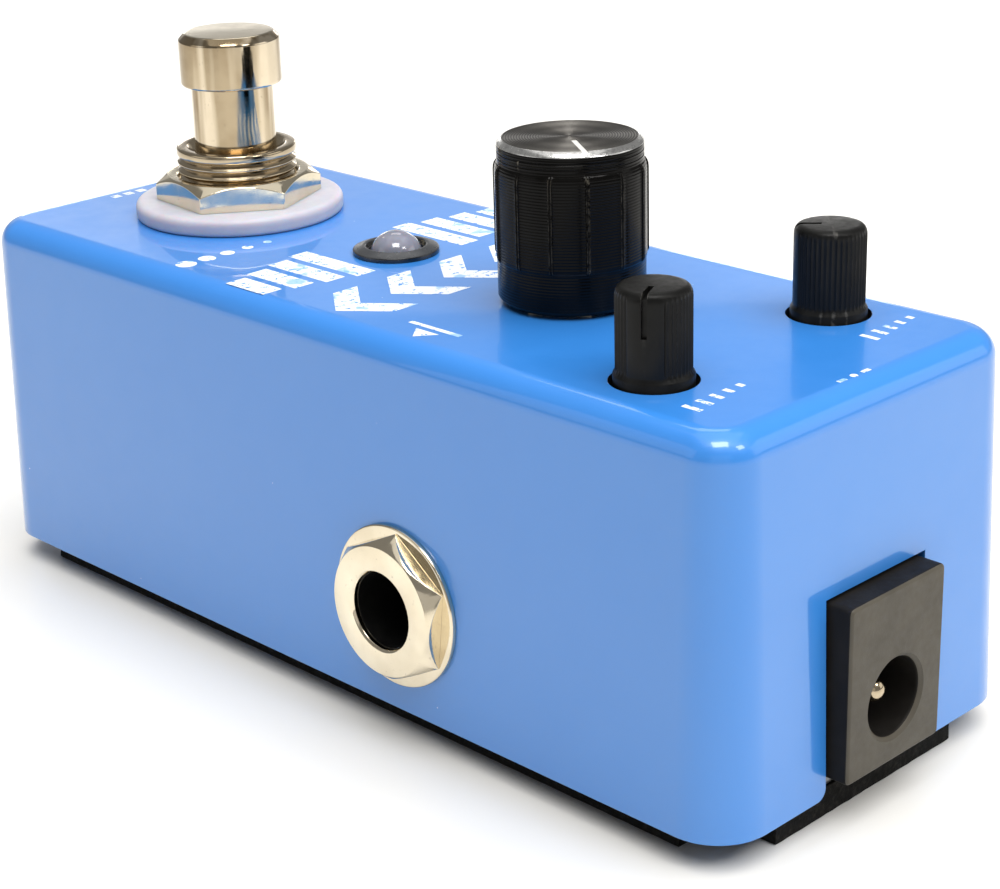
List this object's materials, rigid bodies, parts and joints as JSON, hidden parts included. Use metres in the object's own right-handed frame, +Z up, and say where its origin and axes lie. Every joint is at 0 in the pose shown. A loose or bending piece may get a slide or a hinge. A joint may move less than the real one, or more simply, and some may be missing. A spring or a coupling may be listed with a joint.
{
  "type": "guitar effects pedal",
  "caption": "Small drafted metal effects pedal with a footswitch, one large and two small rotary controls, a status lamp, side jacks and a power inlet.",
  "frame": {"origin": "centre of the enclosure footprint, on the floor under the rubber pad", "axes": "+X towards the input jack, +Y towards the power inlet (away from the player), +Z up"},
  "size_m": [0.0408, 0.0953, 0.0514],
  "materials": {
    "enamel": "glossy baked enamel, bright blue",
    "plate_steel": "zinc-plated sheet steel",
    "pad_rubber": "matte black foam rubber",
    "dark_steel": "black-oxide steel",
    "nickel": "polished warm nickel plate",
    "nylon": "milky translucent nylon",
    "blue_plastic": "moulded blue plastic",
    "spring_steel": "bright tinned or spring steel",
    "contact_brass": "bright brass",
    "board_green": "glass-epoxy board with green solder resist",
    "black_plastic": "moulded black plastic",
    "socket_plastic": "matte black moulded plastic",
    "knob_aluminium": "black anodised turned aluminium, bright cut edge",
    "can_steel": "plated steel can",
    "trim_plastic": "satin black plastic",
    "lamp_epoxy": "milky cast epoxy",
    "relay_plastic": "white plastic case",
    "sleeve_plastic": "dark blue shrink sleeve",
    "film_plastic": "red dipped film",
    "resistor_ceramic": "tan lacquered ceramic"
  },
  "bodies": {
    "chassis": {"enclosure": "enamel", "base_plate": "plate_steel", "base_pad": "pad_rubber", "base_screws": "dark_steel", "switch_bush": "nickel", "switch_nut": "nickel", "switch_washer": "nylon", "switch_lock_washer": "nickel", "switch_lower_nut": "nickel", "switch_housing": "blue_plastic", "switch_spring": "spring_steel", "switch_lugs": "contact_brass", "switch_board": "board_green", "board_header": "black_plastic", "input_nut": "nickel", "input_washer": "nickel", "input_jack_body": "black_plastic", "input_jack_contacts": "spring_steel", "output_nut": "nickel", "output_washer": "nickel", "output_jack_body": "black_plastic", "output_jack_contacts": "spring_steel", "dc_housing": "socket_plastic", "dc_pin": "nickel", "dc_contacts": "spring_steel", "main_pot_bush": "contact_brass", "main_pot_nut": "nickel", "main_pot_body": "can_steel", "left_trim_pot": "can_steel", "right_trim_pot": "can_steel", "led_lens": "lamp_epoxy", "led_bezel": "black_plastic", "led_leads": "spring_steel", "main_board": "board_green", "bypass_relay": "relay_plastic", "effect_chips": "black_plastic", "electrolytic_capacitors": "sleeve_plastic", "film_capacitors": "film_plastic", "resistors": "resistor_ceramic", "voltage_regulator": "black_plastic"},
    "footswitch": {"switch_cap": "nickel", "switch_bridge": "contact_brass"},
    "main_control": {"main_knob": "knob_aluminium", "knob_screw": "dark_steel", "main_pot_shaft": "spring_steel", "main_pot_wiper": "contact_brass"},
    "left_control": {"left_trim_knob": "trim_plastic", "left_trim_wiper": "contact_brass"},
    "right_control": {"right_trim_knob": "trim_plastic", "right_trim_wiper": "contact_brass"}
  },
  "joints": [
    {"name": "footswitch_press", "type": "slide", "parent": "chassis", "child": "footswitch", "axis": [0, 0, -1], "range_m": [0, 0.003], "stiffness_N_per_m": 2000, "springref_m": -0.004, "deforming": ["switch_spring"]},
    {"name": "main_turn", "type": "hinge", "parent": "chassis", "child": "main_control", "pos_m": [0, 0.0148, 0.041], "axis": [0, 0, 1], "range_deg": [-116, 184]},
    {"name": "left_turn", "type": "hinge", "parent": "chassis", "child": "left_control", "pos_m": [-0.0105, 0.033, 0.037], "axis": [0, 0, 1], "range_deg": [-10, 290]},
    {"name": "right_turn", "type": "hinge", "parent": "chassis", "child": "right_control", "pos_m": [0.0105, 0.033, 0.037], "axis": [0, 0, 1], "range_deg": [-87, 213]}
  ]
}
